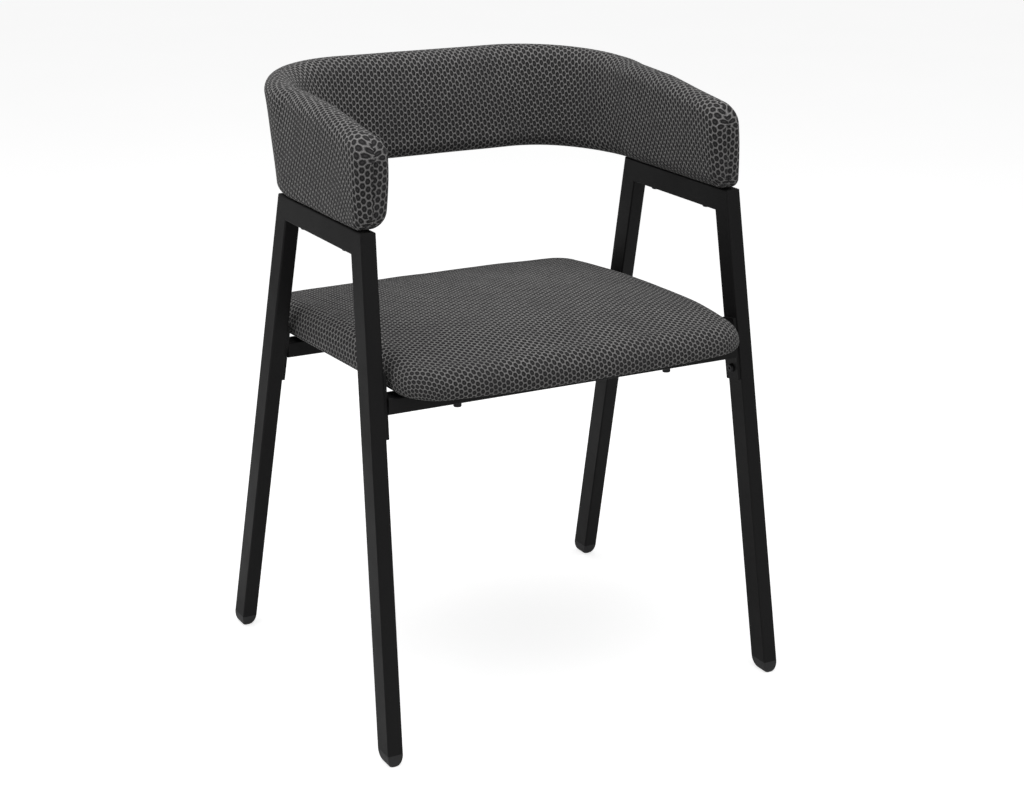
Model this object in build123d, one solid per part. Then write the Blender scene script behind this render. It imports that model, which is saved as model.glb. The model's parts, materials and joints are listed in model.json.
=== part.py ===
from build123d import *
import math
import os

os.makedirs("parts", exist_ok=True)

# Dining armchair: two welded side frames of 30 x 20 tube, two bolted crossbars, a padded seat
# and one padded U-shaped band that is both backrest and armrests.
# Millimetres, +Z up, the chair faces -Y, and "left" and "right" are the sitter's, so left is +X.

# Tube of the side frames and crossbars
TUBE_W = 20.0          # across the side frame
TUBE_D = 30.0          # in the plane of the side frame
TUBE_WALL = 1.5
TUBE_R = 2.0           # outside corner radius

# Side frame
FRAME_H = 630.0        # floor to top of the rail, along the leaning frame
FOOT_X = 283.5         # outer face of the frame at the floor
TILT = 1.9             # degrees the frame leans inwards
FRONT_FOOT_Y = -248.2  # front edge of the front leg at the floor
FRONT_TOP_Y = -146.4   # and at the top
REAR_FOOT_Y = 245.8    # rear edge of the rear leg at the floor
REAR_TOP_Y = 94.1      # and at the top
GLIDE_H = 16.0         # plastic glide below the cut end of the tube

# Crossbars and their end plates
BAR_SIZE = (30.0, 20.0)
FRONT_BAR_Y = -164.5
REAR_BAR_Y = 129.6
PLATE = (26.0, 80.0, 4.0)
PLATE_BOLT_PITCH = 50.0

# Seat, in its own raked frame: x, v towards the back, w up from the top of the crossbars
RAKE = 1.85            # degrees, rear lower
SEAT_Z = 432.7         # height of the crossbars' top plane at y = 0
SEAT_HALF_W = 237.0
SEAT_FRONT = -224.5
SEAT_BOW = 7.0         # the front edge runs this far forward in the middle
SEAT_REAR = 226.0
SEAT_EDGE_H = 42.0     # height of the pad at its edge
SEAT_CROWN = 13.5      # extra height in the middle
SEAT_CORNER = 45.0     # plan corner radius
SEAT_TOP_R = 19.0
SEAT_LOW_R = 11.0
BOARD_T = 12.0
BOARD_INSET = 20.0     # the foam wraps round the edge of the board
COVER_T = 2.4
SEAT_BOLT_X = 148.0

# Backrest band
BAND_T = 42.0
BAND_FRONT = -145.0
BAND_LOW = (630.0, 266.5, 204.5)   # height, outer half width, rearmost y
BAND_HIGH = (790.0, 262.0, 254.0)
BAND_CORNER = 150.0    # outer plan radius of the rear corners
BAND_EDGE_R = 14.0
BAND_BOLT_Y = (-88.0, 32.0)
BACK_BOARD_T = 16.0
BACK_BOARD_IN = 6.5    # from the outer face of the band
BACK_BOARD_MARGIN = 13.0

# M6 hardware
SHANK_R = 2.95
THREAD_R = 3.0
CLEAR_R = 3.3
HEAD_R = 5.6
HEAD_H = 3.4
CAP_R = 5.0
CAP_H = 6.0
WASHER = (8.0, 1.6)


def mirrored(shape):
    return mirror(shape, about=Plane.YZ)


def in_frame(shape):
    """Lean a shape drawn in an upright frame plane, x = 0 at the frame's outer face."""
    return Pos(FOOT_X, 0, 0) * Rot(0, -TILT, 0) * shape


def in_seat(shape):
    """Put a shape drawn in the seat's own frame into place."""
    return Pos(0, 0, SEAT_Z) * Rot(-RAKE, 0, 0) * shape


def axis_angle(foot, top):
    return math.degrees(math.atan2(top - foot, FRAME_H))


def tube(length):
    """Rectangular tube along +Z, 20 in x and 30 in y, centred on its axis."""
    section = RectangleRounded(TUBE_W, TUBE_D, TUBE_R)
    section -= RectangleRounded(TUBE_W - 2 * TUBE_WALL, TUBE_D - 2 * TUBE_WALL, 0.6)
    return extrude(section, length)


def rail_inner_corner(foot, top):
    """Where the leg's inner edge meets the rail's lower edge."""
    angle = math.radians(axis_angle(foot, top))
    width = TUBE_D / math.cos(angle)
    side = 1.0 if foot < 0 else -1.0
    return foot + (top - foot) * (FRAME_H - TUBE_D) / FRAME_H + side * width


def mitre(foot, top):
    """Plane through the outer and inner corner of a welded mitre, facing the rail."""
    inner = rail_inner_corner(foot, top)
    along = Vector(0, inner - top, -TUBE_D).normalized()
    normal = along.cross(Vector(1, 0, 0))
    if normal.Y * (1.0 if foot < 0 else -1.0) < 0:
        normal = normal * -1
    return Plane(origin=(0, top, FRAME_H), x_dir=(1, 0, 0), z_dir=normal)


def leg_plane(foot, top, height):
    """Plane across the leg at a height, its z along the leg axis, in the upright frame."""
    angle = math.radians(axis_angle(foot, top))
    side = 1.0 if foot < 0 else -1.0
    centre = foot + (top - foot) * height / FRAME_H + side * TUBE_D / (2 * math.cos(angle))
    direction = (0, math.sin(angle), math.cos(angle))
    return Plane(origin=(-TUBE_W / 2, centre, height), x_dir=(1, 0, 0), z_dir=direction)


def bolt_axis(foot, top, height):
    """Directions on the inner face of a leg: across the leg, along the leg, and out of the face."""
    at = leg_plane(foot, top, height)
    face = Plane(origin=(-TUBE_W, at.origin.Y, height), x_dir=at.z_dir, z_dir=(-1, 0, 0))
    return face


def plate_height(y_sign):
    bar_y = FRONT_BAR_Y if y_sign < 0 else REAR_BAR_Y
    return SEAT_Z - bar_y * math.tan(math.radians(RAKE)) - BAR_SIZE[1] / 2


LEGS = {
    "front": (FRONT_FOOT_Y, FRONT_TOP_Y, plate_height(-1)),
    "rear": (REAR_FOOT_Y, REAR_TOP_Y, plate_height(1)),
}


def leg(foot, top, height):
    """One leg: tube cut level at the glide and mitred under the rail, with two rivet-nut holes."""
    start = leg_plane(foot, top, -20)
    body = start * tube(FRAME_H + 80)
    body = split(body, bisect_by=mitre(foot, top), keep=Keep.BOTTOM)
    for shift in (-PLATE_BOLT_PITCH / 2, PLATE_BOLT_PITCH / 2):
        hole = bolt_axis(foot, top, height) * (Pos(shift, 0, -4) * Cylinder(4.5, 12))
        body -= hole
    body = in_frame(body)
    return split(body, bisect_by=Plane.XY.offset(GLIDE_H), keep=Keep.TOP)


def top_rail():
    """Arm rail between the two mitres, drilled through for the two band bolts."""
    body = Plane(origin=(-TUBE_W / 2, -300, FRAME_H - TUBE_D / 2), x_dir=(1, 0, 0), z_dir=(0, 1, 0)) * tube(600)
    body = split(body, bisect_by=mitre(FRONT_FOOT_Y, FRONT_TOP_Y), keep=Keep.TOP)
    body = split(body, bisect_by=mitre(REAR_FOOT_Y, REAR_TOP_Y), keep=Keep.TOP)
    for y in BAND_BOLT_Y:
        body -= Pos(-TUBE_W / 2, y, FRAME_H - TUBE_D / 2) * Cylinder(CLEAR_R, TUBE_D + 4)
    return in_frame(body)


def glide(foot, top):
    """Domed plastic glide with a plug that fills the end of the leg."""
    angle = math.radians(axis_angle(foot, top))
    lean = math.tan(math.radians(TILT))
    side = 1.0 if foot < 0 else -1.0
    depth = TUBE_D / math.cos(angle)
    steps = ((16.0, 1.0), (11.5, 0.965), (7.5, 0.89), (4.2, 0.78), (1.8, 0.645), (0.0, 0.44))
    rings = []
    for z, k in steps:
        centre_y = foot + (top - foot) * z / FRAME_H + side * depth / 2
        centre_x = FOOT_X - TUBE_W / 2 - z * lean
        ring = RectangleRounded(TUBE_W * k, depth * (0.4 + 0.6 * k), 1.9 + 3.0 * (1 - k))
        rings.append(Pos(centre_x, centre_y, z) * ring)
    dome = loft(rings)
    plug = leg_plane(foot, top, 8) * extrude(RectangleRounded(16.7, 26.7, 0.5), 32)
    plug = split(in_frame(plug), bisect_by=Plane.XY.offset(GLIDE_H), keep=Keep.TOP)
    return dome + plug


def end_plate(foot, top, height):
    """Flat plate welded to the crossbar's end and bolted to the inner face of the leg."""
    face = bolt_axis(foot, top, height)
    body = extrude(RectangleRounded(PLATE[1], PLATE[0], 1.5), PLATE[2])
    for shift in (-PLATE_BOLT_PITCH / 2, PLATE_BOLT_PITCH / 2):
        body -= Pos(shift, 0, PLATE[2] / 2) * Cylinder(CLEAR_R, PLATE[2] + 2)
    return in_frame(face * body)


def button_bolt(length):
    """M6 button-head screw along -Z, the underside of its head at z = 0."""
    head = Cylinder(HEAD_R, HEAD_H, align=(Align.CENTER, Align.CENTER, Align.MIN))
    head = fillet(head.edges().group_by(Axis.Z)[-1], 2.2)
    head -= Pos(0, 0, HEAD_H - 1.8) * extrude(RegularPolygon(2, 6), 2)
    shank = Cylinder(SHANK_R, length, align=(Align.CENTER, Align.CENTER, Align.MAX))
    return head + shank


def cap_bolt(length):
    """M6 cap screw along -Z with a hexagon socket."""
    head = Cylinder(CAP_R, CAP_H, align=(Align.CENTER, Align.CENTER, Align.MIN))
    head = chamfer(head.edges().group_by(Axis.Z)[-1], 0.6)
    head -= Pos(0, 0, CAP_H - 3) * extrude(RegularPolygon(2.9, 6), 4)
    return head + Cylinder(SHANK_R, length, align=(Align.CENTER, Align.CENTER, Align.MAX))


def plate_bolts():
    bolts = []
    for foot, top, height in LEGS.values():
        face = bolt_axis(foot, top, height)
        for shift in (-PLATE_BOLT_PITCH / 2, PLATE_BOLT_PITCH / 2):
            bolt = in_frame(face * (Pos(shift, 0, PLATE[2]) * button_bolt(15)))
            bolts += [bolt, mirrored(bolt)]
    return Compound(children=bolts)


def rivet_nuts():
    """Blind rivet nuts in the inner wall of the legs, bulged behind the wall."""
    nuts = []
    for foot, top, height in LEGS.values():
        face = bolt_axis(foot, top, height)
        for shift in (-PLATE_BOLT_PITCH / 2, PLATE_BOLT_PITCH / 2):
            nut = Pos(0, 0, -6) * Cylinder(4.45, 12)
            nut += Pos(0, 0, -TUBE_WALL - 1.2) * Cylinder(6.2, 2.4)
            nut -= Pos(0, 0, -6) * Cylinder(THREAD_R, 14)
            nut = in_frame(face * (Pos(shift, 0, 0) * nut))
            nuts += [nut, mirrored(nut)]
    return Compound(children=nuts)


def crossbar(bar_y, foot, top, height):
    """Tube laid flat between the two end plates, drilled for the seat bolts."""
    section = RectangleRounded(BAR_SIZE[1], BAR_SIZE[0], TUBE_R)
    section -= RectangleRounded(BAR_SIZE[1] - 2 * TUBE_WALL, BAR_SIZE[0] - 2 * TUBE_WALL, 0.6)
    body = Plane.YZ.offset(-300) * Rot(0, 0, 90) * extrude(section, 600)
    for x in (-SEAT_BOLT_X, SEAT_BOLT_X):
        body -= Pos(x, 0, 0) * Cylinder(CLEAR_R, BAR_SIZE[1] + 4)
    body = in_seat(Pos(0, bar_y / math.cos(math.radians(RAKE)), -BAR_SIZE[1] / 2) * body)
    face = in_frame_plane(bolt_axis(foot, top, height))
    end = Plane(origin=face.origin + face.z_dir * PLATE[2], z_dir=face.z_dir)
    body = split(body, bisect_by=end, keep=Keep.TOP)
    mirror_end = Plane(origin=(-end.origin.X, end.origin.Y, end.origin.Z), z_dir=(-end.z_dir.X, 0, end.z_dir.Z))
    return split(body, bisect_by=mirror_end, keep=Keep.TOP)


def in_frame_plane(plane):
    """The same lean as in_frame, for a plane."""
    location = Pos(FOOT_X, 0, 0) * Rot(0, -TILT, 0) * plane.location
    return Plane(location)


def seat_plan(inset):
    """Straight sides and rear, front edge bowed forwards, round corners."""
    half = SEAT_HALF_W - inset
    front = SEAT_FRONT + inset
    rear = SEAT_REAR - inset
    edges = Polyline((half, front), (half, rear), (-half, rear), (-half, front))
    edges += ThreePointArc((-half, front), (0, front - SEAT_BOW), (half, front))
    outline = make_face(edges)
    return fillet(outline.vertices(), SEAT_CORNER - inset)


def seat_solid(inset, low):
    """Crowned pad with rounded edges, shrunk all round by an inset."""
    top = SEAT_EDGE_H + SEAT_CROWN
    block = Pos(0, 0, low) * extrude(seat_plan(inset), top + 10)
    radius = (SEAT_HALF_W ** 2 + SEAT_CROWN ** 2) / (2 * SEAT_CROWN)
    centre = (SEAT_FRONT + SEAT_REAR) / 2
    block &= Pos(0, centre, top - inset - radius) * Sphere(radius)
    block = fillet(block.edges().group_by(Axis.Z)[0], max(SEAT_LOW_R - inset, 2.0))
    rim = [e for e in block.edges() if e.center().Z > SEAT_EDGE_H - 20 - inset]
    return fillet(rim, SEAT_TOP_R - inset)


def seat_bolt_holes(radius, low, high):
    holes = []
    for x in (-SEAT_BOLT_X, SEAT_BOLT_X):
        for bar_y in (FRONT_BAR_Y, REAR_BAR_Y):
            v = bar_y / math.cos(math.radians(RAKE))
            holes.append(Pos(x, v, (low + high) / 2) * Cylinder(radius, high - low))
    return holes


LIP = 3.2              # board sits this far above the crossbars, over the turned-under cover


def seat_dust_cover():
    sheet = extrude(seat_plan(14), 0.8)
    return in_seat(sheet - seat_bolt_holes(CLEAR_R, -1, 2))


def seat_board():
    board = Pos(0, 0, LIP) * extrude(seat_plan(BOARD_INSET), BOARD_T)
    board -= seat_bolt_holes(4.6, LIP - 1, LIP + BOARD_T + 1)
    board -= seat_bolt_holes(9.6, LIP + BOARD_T - 1.5, LIP + BOARD_T + 1)
    return in_seat(board)


def seat_tee_nuts():
    """Flanged tee nuts let into the top of the seat board."""
    nuts = []
    top = LIP + BOARD_T
    for x in (-SEAT_BOLT_X, SEAT_BOLT_X):
        for bar_y in (FRONT_BAR_Y, REAR_BAR_Y):
            v = bar_y / math.cos(math.radians(RAKE))
            nut = Pos(0, 0, top - 5) * Cylinder(4.5, 10)
            nut += Pos(0, 0, top - 0.75) * Cylinder(9.5, 1.5)
            nut -= Pos(0, 0, top - 5) * Cylinder(THREAD_R, 12)
            nuts.append(in_seat(Pos(x, v, 0) * nut))
    return Compound(children=nuts)


def seat_bolts():
    bolts = []
    for x in (-SEAT_BOLT_X, SEAT_BOLT_X):
        for bar_y in (FRONT_BAR_Y, REAR_BAR_Y):
            v = bar_y / math.cos(math.radians(RAKE))
            bolt = Rot(180, 0, 0) * cap_bolt(WASHER[1] + BAR_SIZE[1] + LIP + BOARD_T - 2)
            bolts.append(in_seat(Pos(x, v, -BAR_SIZE[1] - WASHER[1]) * bolt))
    return Compound(children=bolts)


def seat_washers():
    rings = []
    for x in (-SEAT_BOLT_X, SEAT_BOLT_X):
        for bar_y in (FRONT_BAR_Y, REAR_BAR_Y):
            v = bar_y / math.cos(math.radians(RAKE))
            ring = Cylinder(WASHER[0], WASHER[1]) - Cylinder(CLEAR_R, WASHER[1] + 1)
            rings.append(in_seat(Pos(x, v, -BAR_SIZE[1] - WASHER[1] / 2) * ring))
    return Compound(children=rings)


def seat_foam():
    foam = seat_solid(COVER_T, LIP)
    return in_seat(foam - Pos(0, 0, LIP) * extrude(seat_plan(BOARD_INSET), BOARD_T))


def seat_cover():
    """Knitted cover: over the foam, down the board's edge and turned under it."""
    outer = seat_solid(0, 0.8)
    inner = seat_solid(COVER_T, LIP)
    opening = Pos(0, 0, -5) * extrude(seat_plan(36), 12)
    shell = outer - inner - opening
    shell -= seat_bolt_holes(CLEAR_R, -5, 12)
    return in_seat(shell)


def band_wire(height, half_width, rear, corner, thickness):
    """Closed plan outline of the U at one height."""
    inner_half = half_width - thickness
    inner_rear = rear - thickness
    inner_corner = corner - thickness
    k = math.sqrt(0.5)
    outer_mid = (half_width - corner + corner * k, rear - corner + corner * k)
    inner_mid = (inner_half - inner_corner + inner_corner * k, inner_rear - inner_corner + inner_corner * k)
    right = [
        Line((half_width, BAND_FRONT), (half_width, rear - corner)),
        ThreePointArc((half_width, rear - corner), outer_mid, (half_width - corner, rear)),
    ]
    left = [
        ThreePointArc((corner - half_width, rear), (-outer_mid[0], outer_mid[1]), (-half_width, rear - corner)),
        Line((-half_width, rear - corner), (-half_width, BAND_FRONT)),
        Line((-half_width, BAND_FRONT), (-inner_half, BAND_FRONT)),
        Line((-inner_half, BAND_FRONT), (-inner_half, inner_rear - inner_corner)),
        ThreePointArc((-inner_half, inner_rear - inner_corner), (-inner_mid[0], inner_mid[1]),
                      (inner_corner - inner_half, inner_rear)),
    ]
    rest = [
        Line((inner_corner - inner_half, inner_rear), (inner_half - inner_corner, inner_rear)),
        ThreePointArc((inner_half - inner_corner, inner_rear), inner_mid, (inner_half, inner_rear - inner_corner)),
        Line((inner_half, inner_rear - inner_corner), (inner_half, BAND_FRONT)),
        Line((inner_half, BAND_FRONT), (half_width, BAND_FRONT)),
    ]
    back = [Line((half_width - corner, rear), (corner - half_width, rear))]
    return Pos(0, 0, height) * make_face(Wire(right + back + left + rest))


def band_profile(inset):
    """Side outline of the band: arms level underneath, a soft front corner, top rising to the back."""
    low = BAND_LOW[0] + inset
    front = BAND_FRONT + inset
    rear = 260.0
    under = Spline((60, low), (150, low + 4), (rear, low + 11), tangents=((1, 0), (1, 0.06)))
    top_front = 735.5 - inset
    r = 24.0 - inset
    over = Spline((rear, 774 - inset), (120, 762.5 - inset), (0, 753 - inset), (front + r, top_front),
                  tangents=((-1, -0.05), (-1, -0.1)))
    nose = ThreePointArc((front + r, top_front), (front + 0.293 * r, top_front - 0.293 * r), (front, top_front - r))
    outline = Wire([
        Line((front, low), (60, low)),
        under,
        Line((rear, low + 11), (rear, 774 - inset)),
        over,
        nose,
        Line((front, top_front - r), (front, low)),
    ])
    return Plane.YZ.offset(-400) * make_face(outline)


def band_solid(inset, thickness, margin):
    """U-shaped wall leaning backwards, an inset inside the band's outer face
    and a margin inside its upper, lower and front edges."""
    low = band_wire(BAND_LOW[0], BAND_LOW[1] - inset, BAND_LOW[2] - inset, BAND_CORNER - inset, thickness)
    high = band_wire(BAND_HIGH[0], BAND_HIGH[1] - inset, BAND_HIGH[2] - inset, BAND_CORNER - inset, thickness)
    ring = loft([low, high], ruled=True)
    return ring & extrude(band_profile(margin), 800)


def band_rounded(inset):
    """The padded band with every long edge rounded, shrunk all round by an inset."""
    body = band_solid(inset, BAND_T - 2 * inset, inset)
    radius = BAND_EDGE_R - inset
    walls = [e for e in body.edges() if abs(e.tangent_at(0.5).Z) < 0.9 or e.center().Y < BAND_FRONT + 60]
    return fillet([e for e in walls if not is_seam(e)], radius)


def is_seam(edge):
    """Wall-to-wall edges where a flat side runs tangent into a corner: nothing to round."""
    return abs(edge.tangent_at(0.5).Z) > 0.9 and edge.center().Y > BAND_FRONT + 20


def band_holes(radius, low, high):
    holes = []
    for y in BAND_BOLT_Y:
        mid = (low + high) / 2
        hole = Pos(-TUBE_W / 2, y, mid) * Cylinder(radius, high - low)
        hole = in_frame(hole)
        holes += [hole, mirrored(hole)]
    return holes


def back_board():
    """Moulded stiffener in the middle of the band; the arm bolts screw into its lower edge."""
    core = band_solid(BACK_BOARD_IN, BACK_BOARD_T, BACK_BOARD_MARGIN)
    return core - band_holes(4.6, 600, 668)


def back_inserts():
    inserts = []
    for y in BAND_BOLT_Y:
        body = Cylinder(4.5, 22) - Cylinder(THREAD_R, 24)
        body = in_frame(Pos(-TUBE_W / 2, y, 656) * body)
        inserts += [body, mirrored(body)]
    return Compound(children=inserts)


def back_bolts():
    bolts = []
    for y in BAND_BOLT_Y:
        bolt = Rot(180, 0, 0) * button_bolt(60)
        bolt = in_frame(Pos(-TUBE_W / 2, y, FRAME_H - TUBE_D) * bolt)
        bolts += [bolt, mirrored(bolt)]
    return Compound(children=bolts)


def back_foam():
    foam = band_rounded(COVER_T)
    foam -= band_solid(BACK_BOARD_IN, BACK_BOARD_T, BACK_BOARD_MARGIN)
    return foam - band_holes(4.6, 600, 670)


def back_cover():
    shell = band_rounded(0) - band_rounded(COVER_T)
    return shell - band_holes(4.6, 600, 640)


def save(name, shape):
    shape.label = name
    export_step(shape, f"parts/{name}.step")


for end, (foot, top, height) in LEGS.items():
    for name, shape in (("leg", leg(foot, top, height)), ("glide", glide(foot, top)),
                        ("plate", end_plate(foot, top, height))):
        save(f"{end}_left_{name}", shape)
        save(f"{end}_right_{name}", mirrored(shape))

rail = top_rail()
save("left_top_rail", rail)
save("right_top_rail", mirrored(rail))
save("front_crossbar", crossbar(FRONT_BAR_Y, *LEGS["front"]))
save("rear_crossbar", crossbar(REAR_BAR_Y, *LEGS["rear"]))
save("plate_bolts", plate_bolts())
save("rivet_nuts", rivet_nuts())
save("seat_dust_cover", seat_dust_cover())
save("seat_board", seat_board())
save("seat_tee_nuts", seat_tee_nuts())
save("seat_bolts", seat_bolts())
save("seat_washers", seat_washers())
save("seat_foam", seat_foam())
save("seat_cover", seat_cover())
save("back_board", back_board())
save("back_inserts", back_inserts())
save("back_bolts", back_bolts())
save("back_foam", back_foam())
save("back_cover", back_cover())
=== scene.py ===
import json
import math

import bmesh
import bpy
import numpy as np
from mathutils import Matrix, Vector


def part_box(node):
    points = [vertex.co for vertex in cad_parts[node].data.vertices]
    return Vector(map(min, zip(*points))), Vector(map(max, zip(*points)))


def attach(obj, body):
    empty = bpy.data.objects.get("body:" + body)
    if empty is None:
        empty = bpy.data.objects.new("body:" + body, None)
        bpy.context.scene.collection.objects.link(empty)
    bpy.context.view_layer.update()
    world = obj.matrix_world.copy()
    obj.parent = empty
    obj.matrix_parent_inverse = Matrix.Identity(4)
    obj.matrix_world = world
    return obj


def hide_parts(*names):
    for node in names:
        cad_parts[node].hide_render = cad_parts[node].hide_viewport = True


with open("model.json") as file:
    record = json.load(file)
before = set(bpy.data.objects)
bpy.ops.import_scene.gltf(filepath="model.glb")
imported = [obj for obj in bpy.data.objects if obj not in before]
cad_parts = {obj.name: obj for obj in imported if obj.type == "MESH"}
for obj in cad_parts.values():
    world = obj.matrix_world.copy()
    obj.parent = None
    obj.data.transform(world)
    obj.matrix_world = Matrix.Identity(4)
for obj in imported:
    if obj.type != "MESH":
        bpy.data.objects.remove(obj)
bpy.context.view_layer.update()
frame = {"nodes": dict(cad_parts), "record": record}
NODES = frame["nodes"]
MM = 0.001


# ---------------------------------------------------------------- camera, floor and light

# Metres, degrees and, for the lens and its sensor, millimetres.
CAMERA = {"at": (-1.2188, -2.2155, 1.1774), "azimuth": -29.09, "elevation": 17.9, "roll": 0.39,
          "lens": 71.98, "sensor": 36, "shift": (0.00305, -0.0019), "reach": 50}

# Name, place, point aimed at, width and height, power in watts.
LAMPS = [
    ("key_left", (-2.6, -0.9, 1.6), (0, 0, 0.45), (2.0, 2.0), 13),
    ("top", (-0.3, -0.2, 2.6), (0, 0, 0.4), (2.4, 2.0), 47),
    ("front_fill", (0.9, -3.0, 1.4), (0, 0, 0.5), (1.8, 1.8), 8),
]
WORLD_STRENGTH = 0.30

FLOOR_REACH, FLOOR_CELLS = 9, 12
FLOOR_TINT = (0.60, 0.64)
FLOOR_GLOW, FLOOR_GLOW_SEEN = 0.12, 0.62


def add_camera():
    """Stands in front of the chair, on the sitter's right, and looks down at it."""
    az, el, roll = (math.radians(CAMERA[angle]) for angle in ("azimuth", "elevation", "roll"))
    back = Vector((math.sin(az) * math.cos(el), -math.cos(az) * math.cos(el), math.sin(el)))
    right = Vector((math.cos(az), math.sin(az), 0))
    up = right.cross(-back)
    across = right * math.cos(roll) + up * math.sin(roll)
    above = up * math.cos(roll) - right * math.sin(roll)
    data = bpy.data.cameras.new("camera")
    data.sensor_width = CAMERA["sensor"]
    data.lens = CAMERA["lens"]
    data.shift_x, data.shift_y = CAMERA["shift"]
    data.clip_end = CAMERA["reach"]
    camera = bpy.data.objects.new("camera", data)
    turn = Matrix((across, above, back)).transposed().to_4x4()
    camera.matrix_world = Matrix.Translation(CAMERA["at"]) @ turn
    bpy.context.scene.collection.objects.link(camera)
    bpy.context.scene.camera = camera


def add_area(name, place, aim, size, power):
    data = bpy.data.lights.new(name, "AREA")
    data.shape = "RECTANGLE"
    data.size, data.size_y = size
    data.energy = power
    lamp = bpy.data.objects.new(name, data)
    lamp.location = place
    lamp.rotation_euler = (Vector(aim) - Vector(place)).to_track_quat("-Z", "Y").to_euler()
    bpy.context.scene.collection.objects.link(lamp)


def add_floor():
    """White paper that glows a little, and glows more to the camera than to the chair."""
    steps = np.linspace(-FLOOR_REACH, FLOOR_REACH, FLOOR_CELLS + 1)
    corners = [(x, y, 0) for y in steps for x in steps]
    faces = []
    for row in range(FLOOR_CELLS):
        for column in range(FLOOR_CELLS):
            near = row * (FLOOR_CELLS + 1) + column
            far = near + FLOOR_CELLS + 1
            faces.append((near, near + 1, far + 1, far))
    mesh = bpy.data.meshes.new("floor")
    mesh.from_pydata(corners, [], faces)
    floor = bpy.data.objects.new("floor", mesh)
    bpy.context.scene.collection.objects.link(floor)
    material, tree, shader = node_material("floor_paper")
    grain = tree.nodes.new("ShaderNodeTexNoise")
    grain.inputs["Scale"].default_value = 40
    tint = tree.nodes.new("ShaderNodeMapRange")
    tint.inputs["To Min"].default_value, tint.inputs["To Max"].default_value = FLOOR_TINT
    tree.links.new(grain.outputs["Fac"], tint.inputs["Value"])
    tree.links.new(tint.outputs["Result"], shader.inputs["Base Color"])
    shader.inputs["Roughness"].default_value = 0.9
    shader.inputs["Specular IOR Level"].default_value = 0.1
    shader.inputs["Emission Color"].default_value = (1, 1, 1, 1)
    g = Graph(tree)
    seen = tree.nodes.new("ShaderNodeLightPath").outputs["Is Camera Ray"]
    glow = g.math("ADD", g.math("MULTIPLY", seen, FLOOR_GLOW_SEEN), FLOOR_GLOW)
    tree.links.new(glow, shader.inputs["Emission Strength"])
    mesh.materials.append(material)


def add_world():
    world = bpy.data.worlds.new("studio")
    world.use_nodes = True
    background = world.node_tree.nodes["Background"]
    background.inputs["Color"].default_value = (1, 1, 1, 1)
    background.inputs["Strength"].default_value = WORLD_STRENGTH
    bpy.context.scene.world = world
    bpy.context.scene.view_settings.view_transform = "Standard"
    bpy.context.scene.view_settings.look = "None"


# ---------------------------------------------------------------- materials

# Width of one cell of the knit as its material draws it, in mm, and the height of a row of
# hexagons over their width.
CELL = 7.2
ROW_SHARE = 0.866

# Where the parts of a cell begin and end, from its middle at 0 to its border at 0.5.
SPOT_ENDS, RIM_ENDS, CREST_ENDS = (0.05, 0.24), (0.30, 0.43), (0.40, 0.50)

YARN_DARK, YARN_LIGHT = (0.070, 0.068, 0.069, 1), (0.165, 0.161, 0.160, 1)
# Painted highlight on the crests of the net, then painted sheen where the cloth is seen aslant.
CREST_HIGHLIGHT_TONE, PAINTED_SHEEN_TONE = (0.26, 0.254, 0.25, 1), (0.34, 0.333, 0.328, 1)
# Painted shade in the hollows of the cells, round their lighter floors.
HOLLOW_SHADE_DARK, HOLLOW_SHADE_LIGHT = (0.006, 0.0058, 0.006, 1), (0.018, 0.0175, 0.018, 1)
SPOT_TONE, SHADE_TONE = (0.055, 0.053, 0.054, 1), (0.035, 0.033, 0.036, 1)
COAT_DARK, COAT_LIGHT = (0.0038, 0.0037, 0.0039, 1), (0.0062, 0.0059, 0.0062, 1)
COAT_GRAIN = (0.009, 0.0087, 0.009, 1)

# Depth of the knit's relief and of every finer grain, in metres.
KNIT_RELIEF, GRAIN_RELIEF = 0.0019, 0.0004


def node_material(name):
    material = bpy.data.materials.new(name)
    material.use_nodes = True
    tree = material.node_tree
    return material, tree, tree.nodes["Principled BSDF"]


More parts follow.
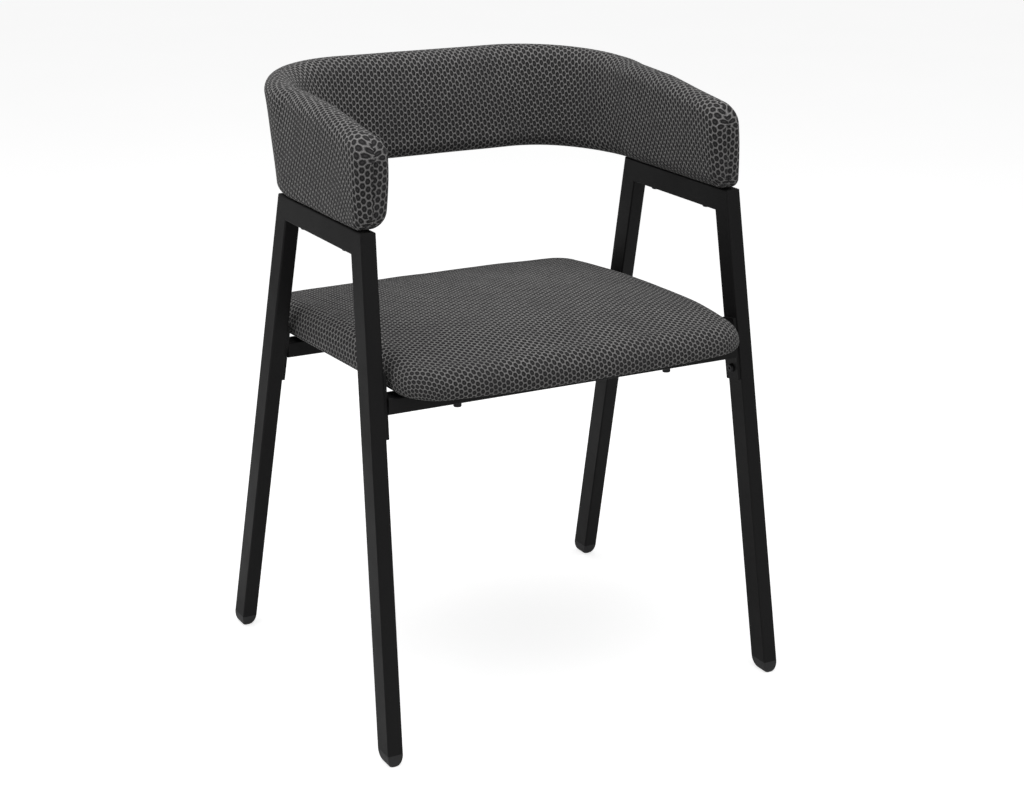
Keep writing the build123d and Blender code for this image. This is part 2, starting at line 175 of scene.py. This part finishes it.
class Graph:
    """Short calls for the node trees below."""

    def __init__(self, tree):
        self.tree = tree

    def put(self, socket, value):
        if isinstance(value, bpy.types.NodeSocket):
            self.tree.links.new(value, socket)
        else:
            socket.default_value = value

    def math(self, operation, a, b=0.0):
        node = self.tree.nodes.new("ShaderNodeMath")
        node.operation = operation
        for socket, value in zip(node.inputs, (a, b)):
            self.put(socket, value)
        return node.outputs[0]

    def vector(self, operation, a, b=(0, 0, 0), c=(0, 0, 0)):
        node = self.tree.nodes.new("ShaderNodeVectorMath")
        node.operation = operation
        for socket, value in zip(node.inputs, (a, b, c)):
            self.put(socket, value)
        return node.outputs["Value" if operation == "LENGTH" else "Vector"]

    def cell_reach(self, offset):
        """Distance from a cell's middle towards its hexagonal edge, which lies at 0.5."""
        split = self.tree.nodes.new("ShaderNodeSeparateXYZ")
        self.put(split.inputs[0], offset)
        x = self.math("ABSOLUTE", split.outputs["X"])
        y = self.math("ABSOLUTE", split.outputs["Y"])
        slope = self.math("ADD", self.math("MULTIPLY", x, 0.5), self.math("MULTIPLY", y, ROW_SHARE))
        return self.math("MAXIMUM", x, slope)

    def fade(self, value, low, high, out_low=0.0, out_high=1.0):
        node = self.tree.nodes.new("ShaderNodeMapRange")
        node.interpolation_type = "SMOOTHSTEP"
        for socket, item in zip(node.inputs, (value, low, high, out_low, out_high)):
            self.put(socket, item)
        return node.outputs["Result"]

    def noise(self, coords, scale, detail=2.0, rough=0.5):
        node = self.tree.nodes.new("ShaderNodeTexNoise")
        self.put(node.inputs["Vector"], coords)
        node.inputs["Scale"].default_value = scale
        node.inputs["Detail"].default_value = detail
        node.inputs["Roughness"].default_value = rough
        return node.outputs["Fac"]

    def blend(self, amount, a, b):
        node = self.tree.nodes.new("ShaderNodeMix")
        node.data_type = "RGBA"
        self.put(node.inputs["Factor"], amount)
        self.put(node.inputs[6], a)
        self.put(node.inputs[7], b)
        return node.outputs[2]

    def bump(self, height, strength, distance):
        node = self.tree.nodes.new("ShaderNodeBump")
        self.put(node.inputs["Height"], height)
        node.inputs["Strength"].default_value = strength
        node.inputs["Distance"].default_value = distance
        return node.outputs["Normal"]

    def facing(self):
        """0 where the surface faces the viewer, towards 1 where it is seen aslant."""
        node = self.tree.nodes.new("ShaderNodeLayerWeight")
        node.inputs["Blend"].default_value = 0.5
        return node.outputs["Facing"]

    def place(self, kind="Object"):
        return self.tree.nodes.new("ShaderNodeTexCoord").outputs[kind]


def cell_distance(g, at):
    """Distance from the middle of the nearest cell, in cell widths, between round and hexagonal."""
    root3 = math.sqrt(3)
    cell = g.vector("SCALE", at)
    cell.node.inputs["Scale"].default_value = 1 / (CELL * MM)
    high = (0.5, root3 / 2, 1)
    low = (-0.5, -root3 / 2, -1)
    first = g.vector("WRAP", cell, high, low)
    second = g.vector("WRAP", g.vector("ADD", cell, (0.5, root3 / 2, 0)), high, low)
    hexagon = g.math("MINIMUM", g.cell_reach(first), g.cell_reach(second))
    circle = g.math("MINIMUM", g.vector("LENGTH", first), g.vector("LENGTH", second))
    return g.math("ADD", g.math("MULTIPLY", hexagon, 0.5), g.math("MULTIPLY", circle, 0.5))


def mesh_fabric():
    """Honeycomb spacer mesh: round cells in staggered rows, lighter yarn rims over painted shade in the
    hollows, a painted highlight on the crests and a painted sheen seen aslant.
    """
    material, tree, shader = node_material("honeycomb_mesh_fabric")
    g = Graph(tree)
    at = g.place("UV")
    wobble = g.noise(at, 90.0, 1.0)
    far = cell_distance(g, at)
    far = g.math("ADD", far, g.math("MULTIPLY", g.math("SUBTRACT", wobble, 0.5), 0.05))
    net = g.fade(far, *RIM_ENDS)
    crest = g.fade(far, *CREST_ENDS)
    spot = g.fade(far, *SPOT_ENDS, 1.0, 0.0)
    yarn = g.noise(at, 2400.0, 3.0, 0.6)
    soft = g.noise(at, 16.0, 2.0)
    rim = g.blend(yarn, YARN_DARK, YARN_LIGHT)
    # Painted highlight: the crest of the net is drawn lighter.
    rim = g.blend(g.math("MULTIPLY", crest, 0.6), rim, CREST_HIGHLIGHT_TONE)
    aslant = g.facing()
    # Painted sheen: the rims turn lighter where the cloth is seen aslant.
    rim = g.blend(g.math("MULTIPLY", aslant, 0.45), rim, PAINTED_SHEEN_TONE)
    # Painted shade fills each cell's hollow between its floor and its rim.
    hollow_shade = g.blend(yarn, HOLLOW_SHADE_DARK, HOLLOW_SHADE_LIGHT)
    # The lighter floor shows less where the cloth is seen aslant, and the painted shade takes its place.
    spot_share = g.math("MULTIPLY", spot, g.fade(aslant, 0.2, 0.8, 0.6, 0.1))
    hollow_shade = g.blend(spot_share, hollow_shade, SPOT_TONE)
    colour = g.blend(net, hollow_shade, rim)
    colour = g.blend(g.fade(soft, 0.35, 0.7, 0.0, 0.2), colour, SHADE_TONE)
    tree.links.new(colour, shader.inputs["Base Color"])
    tree.links.new(g.fade(net, 0.0, 1.0, 0.92, 0.74), shader.inputs["Roughness"])
    shader.inputs["Specular IOR Level"].default_value = 0.2
    shader.inputs["Sheen Weight"].default_value = 0.10
    shader.inputs["Sheen Roughness"].default_value = 0.4
    height = g.math("ADD", net, g.math("MULTIPLY", crest, 0.35))
    height = g.math("ADD", height, g.math("MULTIPLY", spot, 0.12))
    height = g.math("ADD", height, g.math("MULTIPLY", yarn, 0.10))
    tree.links.new(g.bump(height, 0.95, KNIT_RELIEF), shader.inputs["Normal"])
    return material


def powder_coat():
    """Matt black frame paint with a fine grain and faint broad clouds."""
    material, tree, shader = node_material("charcoal_powder_coat")
    g = Graph(tree)
    at = g.place()
    fine = g.noise(at, 900.0, 3.0, 0.6)
    broad = g.noise(at, 9.0, 3.0)
    colour = g.blend(broad, COAT_DARK, COAT_LIGHT)
    colour = g.blend(g.math("MULTIPLY", fine, 0.25), colour, COAT_GRAIN)
    tree.links.new(colour, shader.inputs["Base Color"])
    tree.links.new(g.fade(broad, 0.3, 0.7, 0.44, 0.54), shader.inputs["Roughness"])
    shader.inputs["Specular IOR Level"].default_value = 0.2
    tree.links.new(g.bump(fine, 0.16, GRAIN_RELIEF), shader.inputs["Normal"])
    return material


def plain_material(name, dark, light, rough, scale, metallic=0.0, strength=0.1, stretch=(1, 1, 1)):
    """Moulded, plated, wood and cloth surfaces: two tones by noise, with matching roughness and bump."""
    material, tree, shader = node_material(name)
    g = Graph(tree)
    at = g.vector("MULTIPLY", g.place(), stretch)
    grain = g.noise(at, scale, 4.0, 0.6)
    tree.links.new(g.blend(grain, (*dark, 1), (*light, 1)), shader.inputs["Base Color"])
    tree.links.new(g.fade(grain, 0.3, 0.7, rough, rough + 0.12), shader.inputs["Roughness"])
    shader.inputs["Metallic"].default_value = metallic
    tree.links.new(g.bump(grain, strength, GRAIN_RELIEF), shader.inputs["Normal"])
    return material


def paint_nodes():
    """Gives every node of the frame the material of its slot."""
    slots = {entry["node"]: entry["material_slot"] for entry in frame["record"]["subparts"]}
    looks = {
        "frame_paint": powder_coat(),
        "glide_plastic": plain_material(
            "glide_plastic", (0.009, 0.009, 0.010), (0.016, 0.016, 0.017), 0.5, 700.0),
        "bolt_steel": plain_material(
            "black_screw", (0.010, 0.010, 0.011), (0.03, 0.03, 0.032), 0.3, 1500.0, metallic=0.6),
        "zinc_steel": plain_material(
            "zinc_plate", (0.42, 0.43, 0.42), (0.62, 0.62, 0.58), 0.3, 600.0, metallic=1.0),
        "plywood": plain_material(
            "birch_ply", (0.36, 0.23, 0.12), (0.62, 0.46, 0.28), 0.6, 60.0,
            strength=0.3, stretch=(1, 12, 40)),
        "moulded_core": plain_material(
            "moulded_core", (0.05, 0.05, 0.05), (0.09, 0.09, 0.09), 0.55, 300.0),
        "foam": plain_material(
            "foam", (0.16, 0.16, 0.17), (0.3, 0.3, 0.31), 0.9, 900.0, strength=0.6),
        "dust_cloth": plain_material(
            "dust_cloth", (0.008, 0.008, 0.008), (0.03, 0.03, 0.03), 0.85, 1200.0, strength=0.5),
        "mesh_fabric": mesh_fabric(),
    }
    for name, node in NODES.items():
        node.data.materials.clear()
        node.data.materials.append(looks[slots[name]])
    return looks


# ---------------------------------------------------------------- soft pieces, in millimetres

# Points closer together than this many metres are one.
WELD = 0.00005


def surface(name, points, uvs, material):
    """Smooth mesh from rows of points, each row a closed loop."""
    rows, cols = points.shape[:2]
    mesh = bpy.data.meshes.new(name)
    faces, spots = [], []
    for r in range(rows - 1):
        for c in range(cols):
            d = (c + 1) % cols
            faces.append((r * cols + c, r * cols + d, (r + 1) * cols + d, (r + 1) * cols + c))
            spots += [uvs[r, c], uvs[r, c + 1], uvs[r + 1, c + 1], uvs[r + 1, c]]
    mesh.from_pydata((points.reshape(-1, 3) * MM).tolist(), [], faces)
    layer = mesh.uv_layers.new(name="weave")
    layer.data.foreach_set("uv", (np.array(spots) * MM).ravel())
    mesh.polygons.foreach_set("use_smooth", [True] * len(faces))
    mesh.materials.append(material)
    mesh.update()
    piece = bpy.data.objects.new(name, mesh)
    bpy.context.scene.collection.objects.link(piece)
    return piece


def weld(piece):
    """Joins doubled points, closes small gaps and turns every face outwards."""
    work = bmesh.new()
    work.from_mesh(piece.data)
    bmesh.ops.remove_doubles(work, verts=work.verts, dist=WELD)
    bmesh.ops.dissolve_degenerate(work, edges=work.edges, dist=WELD / 5)
    bmesh.ops.recalc_face_normals(work, faces=work.faces)
    work.to_mesh(piece.data)
    work.free()


def cap_centre(piece, count):
    """Closes the small opening that the first ring, of count points, leaves in the middle."""
    work = bmesh.new()
    work.from_mesh(piece.data)
    work.verts.ensure_lookup_table()
    layer = work.loops.layers.uv["weave"]
    uv = {loop.vert.index: loop[layer].uv.copy() for v in work.verts[:count] for loop in v.link_loops}
    centre = work.verts.new(sum((v.co for v in work.verts[:count]), Vector()) / count)
    work.verts.ensure_lookup_table()
    for i in range(count):
        face = work.faces.new((work.verts[i], centre, work.verts[(i + 1) % count]))
        face.smooth = True
        for loop in face.loops:
            loop[layer].uv = uv.get(loop.vert.index, Vector((0, 0)))
    work.to_mesh(piece.data)
    work.free()


def ripple(a, b, seed):
    """Small smooth unevenness in waves some 75 to 300 mm long, the same on every run."""
    k = np.random.default_rng(seed).uniform(0, 6.28, 5)
    return (np.sin(a * 0.021 + k[0]) * np.sin(b * 0.027 + k[1])
            + 0.6 * np.sin(a * 0.047 + b * 0.031 + k[2])
            + 0.4 * np.sin(a * 0.083 - b * 0.067 + k[3]) * np.sin(b * 0.05 + k[4]))


def ramp(value, start, span, most):
    """0 up to the start, then rising by 1 over each span, up to most."""
    return np.clip((value - start) / span, 0, most)


# ---------------------------------------------------------------- backrest and arms

# Plan line, thickness and lean of the pad. It curls backwards above curl_from.
BAND = {"half_w": 243.6, "rear": 200.9, "corner": 129.4, "front": -145.0,
        "half_t": 21.0, "end_r": 11.3, "arm_lean": -0.039, "back_lean": 0.29, "mid_z": 690.0,
        "curl": 7.6, "curl_from": 700, "curl_over": 70, "curl_most": 1.3, "swell": 0.45}

# Heights of the pad's top and bottom, at places along the chair's depth.
TOP_LINE = ([-145, -2, 118, 203], [734.5, 754, 761.5, 770.0])
LOW_LINE = ([60, 118, 203], [630.3, 633.0, 639.6])

# Rounding of an arm's end, seen from the side, and of the pad's edges, in section.
NOSE_R, HEEL_R = 24, 12
TOP_R, OUTER_LOW_R, INNER_LOW_R = 18.0, 9.0, 20.0
WALL_BULGE = 1.2

# Half thickness and distance from the end, from the pinched seam out over the end face.
END_FACE = [(0.0, 1.8), (0.7, 0.9), (1.8, 0.0), (4.0, -0.35), (7.0, -0.25)]
BAND_SECTIONS = 230

# The knit on the cloth: distance between the cells of a column, and between columns.
BAND_PITCH, BAND_GAP = 8.9, 5.1

# At distances from the arm's end: the lean of the columns in degrees, on the outer and the inner
# side, and the share of them that fits in, as the cloth is drawn wider towards the end.
LEAN_OUTER = ([0, 35, 80, 216, 318, 420, 534], [4, 20, 30, 27, 18, 6, 0])
LEAN_INNER = ([0, 40, 110, 216, 318, 420, 534], [4, 14, 20, 18, 13, 5, 0])
END_SPREAD = ([0, 14, 60], [0.84, 0.86, 1.0])

# Heights in the knit count up from this far below the top ridge. Where the pad is thin the way
# over its top is shorter: a quarter round is longer than its radius by 0.57 of that radius.
KNIT_START = 60
QUARTER_EXCESS = 0.57


def arm_length():
    return BAND["rear"] - BAND["corner"] - BAND["front"]


def band_end():
    """Half thickness and distance from the end, from the seam out over the rounded end face."""
    flat = BAND["half_t"] - BAND["end_r"]
    turn = np.linspace(0, math.pi / 2, 9)
    corner = [(flat + BAND["end_r"] * math.sin(t), BAND["end_r"] * (1 - math.cos(t))) for t in turn]
    return np.array(END_FACE + corner)


def band_stations():
    """Distance along the plan line and half thickness of every section, and the line's length."""
    end = band_end()
    length = 2 * arm_length() + math.pi * BAND["corner"] + 2 * (BAND["half_w"] - BAND["corner"])
    inner = np.linspace(BAND["end_r"] + 4, length - BAND["end_r"] - 4, BAND_SECTIONS)
    along = np.concatenate([end[:, 1], inner, length - end[::-1, 1]])
    half = np.concatenate([end[:, 0], np.full(len(inner), BAND["half_t"]), end[::-1, 0]])
    return along, half, length


def band_plan(s, length):
    """Point and outward direction of the plan line at a distance from the left arm's end."""
    r, half_w, rear = BAND["corner"], BAND["half_w"], BAND["rear"]
    arm, bend, back = arm_length(), math.pi / 2 * r, 2 * (half_w - r)
    if s < arm:
        return (half_w, BAND["front"] + s), (1.0, 0.0)
    if s < arm + bend:
        a = (s - arm) / r
        return (half_w - r + r * math.cos(a), rear - r + r * math.sin(a)), (math.cos(a), math.sin(a))
    if s < arm + bend + back:
        return (half_w - r - (s - arm - bend), rear), (0.0, 1.0)
    if s < arm + 2 * bend + back:
        a = math.pi / 2 + (s - arm - bend - back) / r
        return (r - half_w + r * math.cos(a), rear - r + r * math.sin(a)), (math.cos(a), math.sin(a))
    return (-half_w, BAND["front"] + length - s), (-1.0, 0.0)


def round_off(from_end, radius):
    """How much a rounded corner takes off the height at a distance from the end."""
    reach = max(1 - from_end / radius, 0.0)
    return radius * (1 - math.sqrt(1 - reach ** 2))


def half_section(a, bottom, top, low_r):
    """From the middle of the underside, round one wall, to the top ridge."""
    r_top, r_low = min(a, TOP_R), min(a, low_r)
    quarter = np.linspace(0, math.pi / 2, 10)
    rise = np.linspace(0, 1, 18)[1:-1]
    under = np.column_stack([np.linspace(0, a - r_low, 4)[:-1], np.full(3, bottom)])
    low = np.column_stack([a - r_low + r_low * np.sin(quarter), bottom + r_low * (1 - np.cos(quarter))])
    wall = np.column_stack([a + WALL_BULGE * a / BAND["half_t"] * np.sin(math.pi * rise),
                            bottom + r_low + (top - r_top - bottom - r_low) * rise])
    high = np.column_stack([a - r_top + r_top * np.cos(quarter), top - r_top + r_top * np.sin(quarter)])
    over = np.column_stack([np.linspace(a - r_top, 0, 3)[1:], np.full(2, top)])
    return np.concatenate([under, low, wall, high, over])


def band_section(a, bottom, top):
    """Loop round the pad, run from the top ridge, and where the inner side starts."""
    outer = half_section(a, bottom, top, OUTER_LOW_R)
    inner = half_section(a, bottom, top, INNER_LOW_R)[::-1] * (-1, 1)
    loop = np.concatenate([outer, inner])
    arc = np.concatenate([[0], np.cumsum(np.hypot(*np.diff(loop, axis=0).T))])
    return loop, np.abs(arc - arc[len(outer) - 1]), len(outer)


def band_reach(ring, arc, run, a, back):
    """How far the points of a section stand outside the plan line; back is 1 behind the sitter."""
    side, z = ring[:, 0], ring[:, 1]
    lean = (z - BAND["mid_z"]) * (BAND["arm_lean"] * (1 - back) + BAND["back_lean"] * back)
    curl = ramp(z, BAND["curl_from"], BAND["curl_over"], BAND["curl_most"]) ** 2
    lean = lean + BAND["curl"] * math.sqrt(back) * curl
    thin = min(a / BAND["half_t"], 1.0)
    swell = np.sign(side) * BAND["swell"] * ripple(np.full_like(z, run), arc, 4) * thin
    return side + lean + swell


def weave_lay(along, wrap, length, leans):
    """Run across the knitted columns, run along them, and their lean, for every section."""
    near = np.minimum(along, length - along)
    lean = np.radians(np.interp(near, *leans)) * np.where(along < length / 2, 1, -1)
    step = np.diff(wrap)
    across = np.cos(lean) * np.interp(near, *END_SPREAD)
    down = np.sin(lean)
    return np.array([np.concatenate([[0], np.cumsum(step * (across[1:] + across[:-1]) / 2)]),
                     np.concatenate([[0], np.cumsum(step * (down[1:] + down[:-1]) / 2)]),
                     lean])


def fabric_spot(lay, height):
    """Place in the knit, along its columns and across them, of points at these heights."""
    across, down, lean = lay
    return np.column_stack([(down + height * math.cos(lean)) * CELL / BAND_PITCH,
                            (across - height * math.sin(lean)) * CELL * ROW_SHARE / BAND_GAP])


def band_piece(material):
    """Backrest and arms in one pad: a section carried along the plan line from end to end."""
    along, half, length = band_stations()
    wrap = np.concatenate([[0], np.cumsum(np.hypot(np.diff(along), np.diff(half)))])
    outside, inside = (weave_lay(along, wrap, length, leans) for leans in (LEAN_OUTER, LEAN_INNER))
    rows, maps = [], []
    for k, (s, a, run) in enumerate(zip(along, half, wrap)):
        centre, out = band_plan(s, length)
        from_end = max(min(s, length - s), 0.0)
        line = np.interp(centre[1], *TOP_LINE)
        top = line - round_off(from_end, NOSE_R)
        bottom = np.interp(centre[1], *LOW_LINE) + round_off(from_end, HEEL_R)
        ring, arc, turn = band_section(max(a, 0.02), bottom, top)
        reach = band_reach(ring, arc, run, a, max(out[1], 0.0))
        rows.append(np.column_stack([centre[0] + out[0] * reach, centre[1] + out[1] * reach, ring[:, 1]]))
        height = KNIT_START - arc - (line - top) - QUARTER_EXCESS * max(TOP_R - a, 0)
        maps.append(np.vstack([fabric_spot(outside[:, k], height[:turn]),
                               fabric_spot(inside[:, k], height[turn:])]))
    piece = surface("back_upholstery", np.array(rows)[:, :-1], np.array(maps), material)
    weld(piece)
    return piece


# ---------------------------------------------------------------- seat and dust sheet

# Underside of the seat at the middle of the chair, and how far the seat tips back.
SEAT_Z = 432.7
SEAT_RAKE = math.radians(1.85)

# Plan of the cushion, then heights above its underside: rim of the top, crown over that rim,
# widest place of the edge, and the cloth below. The front bows forwards, and its top and
# underside slope down.
SEAT = {"half_w": 236.7, "front": -225.6, "rear": 227.2, "corner": 45.0, "edge": 35.3, "bow": 7.0,
        "rim": 38.3, "crown": 17.9, "mid": 13.9, "under": 0.8, "top_fall": 11.0, "under_fall": 3.9,
        "swell": 0.35}

# For the bow and for the slope: how far in front of the chair's middle it begins, over what
# distance it reaches its full measure, and how many times that measure it may become.
BOW_RAMP, SLOPE_RAMP = (165, 50, 1.4), (90, 125, 1.15)

# Powers that flatten the dome across and along the seat, and that square off the edge's way out
# and its height.
CROWN_POWERS = (0.34, 0.8)
UPPER_EDGE_POWERS, LOWER_EDGE_POWERS = (0.6, 0.9), (0.56, 0.8)
RINGS = 34

# How far in under the board the rings of the cover's turned hem lie.
TURNED_UNDER = (6, 13, 20)

# The knit on the seat: distance between the cells of a column, and between columns.
SEAT_PITCH, SEAT_GAP = 8.4, 5.5

# The sheet sags between the two crossbars: flat up to 15 mm from the middle of one, and with its
# full sag another 25 mm away.
DUST_CORNER, DUST_SAG, DUST_LIFT = 31.0, 1.6, 0.35
CROSSBARS_Y = (-164.5, 129.6)
BAR_RAMP = (15, 25, 1)


def rounded_outline(half_w, half_d, r, count):
    """Points and outward directions round a rectangle with round corners."""
    centres = ((1, -1), (1, 1), (-1, 1), (-1, -1))
    spots, outs = [], []
    for index, (sx, sy) in enumerate(centres):
        turn = np.linspace(index - 1, index, 15) * math.pi / 2
        out = np.column_stack([np.cos(turn), np.sin(turn)])
        corner = np.array((sx * (half_w - r), sy * (half_d - r))) + r * out
        nx, ny = centres[(index + 1) % 4]
        ahead = np.array((nx * (half_w - r), ny * (half_d - r))) + r * out[-1]
        k = np.linspace(0, 1, count)[1:-1, None]
        spots += [corner, corner[-1] * (1 - k) + ahead * k]
        outs += [out, np.repeat(out[-1:], count - 2, axis=0)]
    return np.vstack(spots), np.vstack(outs)


def front_fall(x, v, z):
    """The front edge bows forwards in the middle, and its top and underside slope down."""
    reach = ramp(-v, *BOW_RAMP)
    slope = ramp(-v, *SLOPE_RAMP)
    high = np.clip(z / SEAT["rim"], 0, 1)
    across = np.abs(x / SEAT["half_w"])
    under_fall = (1 - high) * SEAT["under_fall"] * (1 - across ** 3) * reach ** 2
    z = z - high * SEAT["top_fall"] * slope ** 2 - under_fall
    return v - SEAT["bow"] * reach * (1 - across ** 2), z


def seat_top(core, half_d):
    """Rings from the middle of the crowned top out to its rim, with their places in the knit."""
    rows, maps = [], []
    for t in np.linspace(0.02, 1, RINGS):
        xy = core * t
        across = (1 - (xy[:, 0] / SEAT["half_w"]) ** 2) ** CROWN_POWERS[0]
        crown = SEAT["crown"] * across * (1 - (xy[:, 1] / half_d) ** 2) ** CROWN_POWERS[1]
        swell = SEAT["swell"] * ripple(xy[:, 0], xy[:, 1], 9)
        rows.append(np.column_stack([xy, SEAT["rim"] + crown + swell]))
        maps.append(xy.copy())
    return rows, maps


def seat_edge(core, outs, rim_z):
    """Rings from the rim, over the rounded edge and under the board."""
    rows, maps = [], []
    mid = SEAT["mid"]
    arc, before = 0.0, np.array([0.0, SEAT["rim"]])
    for a in np.linspace(math.pi / 2, -math.pi / 2, RINGS)[1:]:
        out_power, height_power = UPPER_EDGE_POWERS if a > 0 else LOWER_EDGE_POWERS
        out = SEAT["edge"] * max(math.cos(a), 0.0) ** out_power
        share = abs(math.sin(a)) ** height_power
        if a > 0:
            z = mid + (rim_z - mid) * share
        else:
            z = np.full(len(core), mid - (mid - SEAT["under"]) * share)
        now = np.array([out, z.mean()])
        arc += float(np.hypot(*(now - before)))
        before = now
        rows.append(np.column_stack([core + outs * out, z]))
        maps.append(core + outs * arc)
    for back in TURNED_UNDER:
        rows.append(np.column_stack([core - outs * back, np.full(len(core), SEAT["under"])]))
        maps.append(core + outs * (arc + back))
    return rows, maps


def seat_piece(material):
    """Crowned cushion in its cover, tipped back by the rake."""
    half_d = (SEAT["rear"] - SEAT["front"]) / 2
    middle = (SEAT["rear"] + SEAT["front"]) / 2
    e = SEAT["edge"]
    core, outs = rounded_outline(SEAT["half_w"] - e, half_d - e, SEAT["corner"] - e, 40)
    core = np.vstack([core, core[:1]])
    outs = np.vstack([outs, outs[:1]])
    top_rows, top_maps = seat_top(core, half_d)
    edge_rows, edge_maps = seat_edge(core, outs, top_rows[-1][:, 2])
    points = np.array(top_rows + edge_rows)
    knit = np.array(top_maps + edge_maps)[..., ::-1] * (CELL / SEAT_PITCH, CELL * ROW_SHARE / SEAT_GAP)
    x = points[..., 0]
    v, w = front_fall(x, points[..., 1] + middle, points[..., 2])
    c, s = math.cos(SEAT_RAKE), math.sin(SEAT_RAKE)
    placed = np.stack([x, v * c + w * s, SEAT_Z - v * s + w * c], axis=-1)
    piece = surface("seat_upholstery", placed[:, :-1], knit, material)
    cap_centre(piece, len(placed[0]) - 1)
    weld(piece)
    return piece


def dust_sheet(material):
    """Thin black cloth with round corners, flat over the crossbars and sagging a little between."""
    low, high = (Vector(p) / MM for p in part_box("seat_dust_cover"))
    half_w, half_d = (high.x - low.x) / 2, (high.y - low.y) / 2
    edge, _ = rounded_outline(half_w, half_d, DUST_CORNER, 30)
    edge = np.vstack([edge, edge[:1]])
    xy = np.array([edge * t for t in np.linspace(0.03, 1, 24)])
    x, v = xy[..., 0] + (low.x + high.x) / 2, xy[..., 1] + (low.y + high.y) / 2
    sag = DUST_SAG * np.cos(xy[..., 0] / half_w * math.pi / 2) * np.cos(xy[..., 1] / half_d * math.pi / 2)
    from_bar = np.minimum(*(np.abs(v - y) for y in CROSSBARS_Y))
    z = SEAT_Z - v * math.tan(SEAT_RAKE) + DUST_LIFT - sag * ramp(from_bar, *BAR_RAMP)
    piece = surface("seat_dust_sheet", np.stack([x, v, z], axis=-1)[:, :-1], xy, material)
    cap_centre(piece, len(edge) - 1)
    return piece


# ---------------------------------------------------------------- the scene

add_camera()
add_world()
add_floor()
for lamp in LAMPS:
    add_area(*lamp)

looks = paint_nodes()
band = band_piece(looks["mesh_fabric"])
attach(band, "root")
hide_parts("back_cover", "back_foam")

seat = seat_piece(looks["mesh_fabric"])
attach(seat, "root")
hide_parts("seat_cover", "seat_foam")

dust = dust_sheet(looks["dust_cloth"])
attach(dust, "root")
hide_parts("seat_dust_cover")
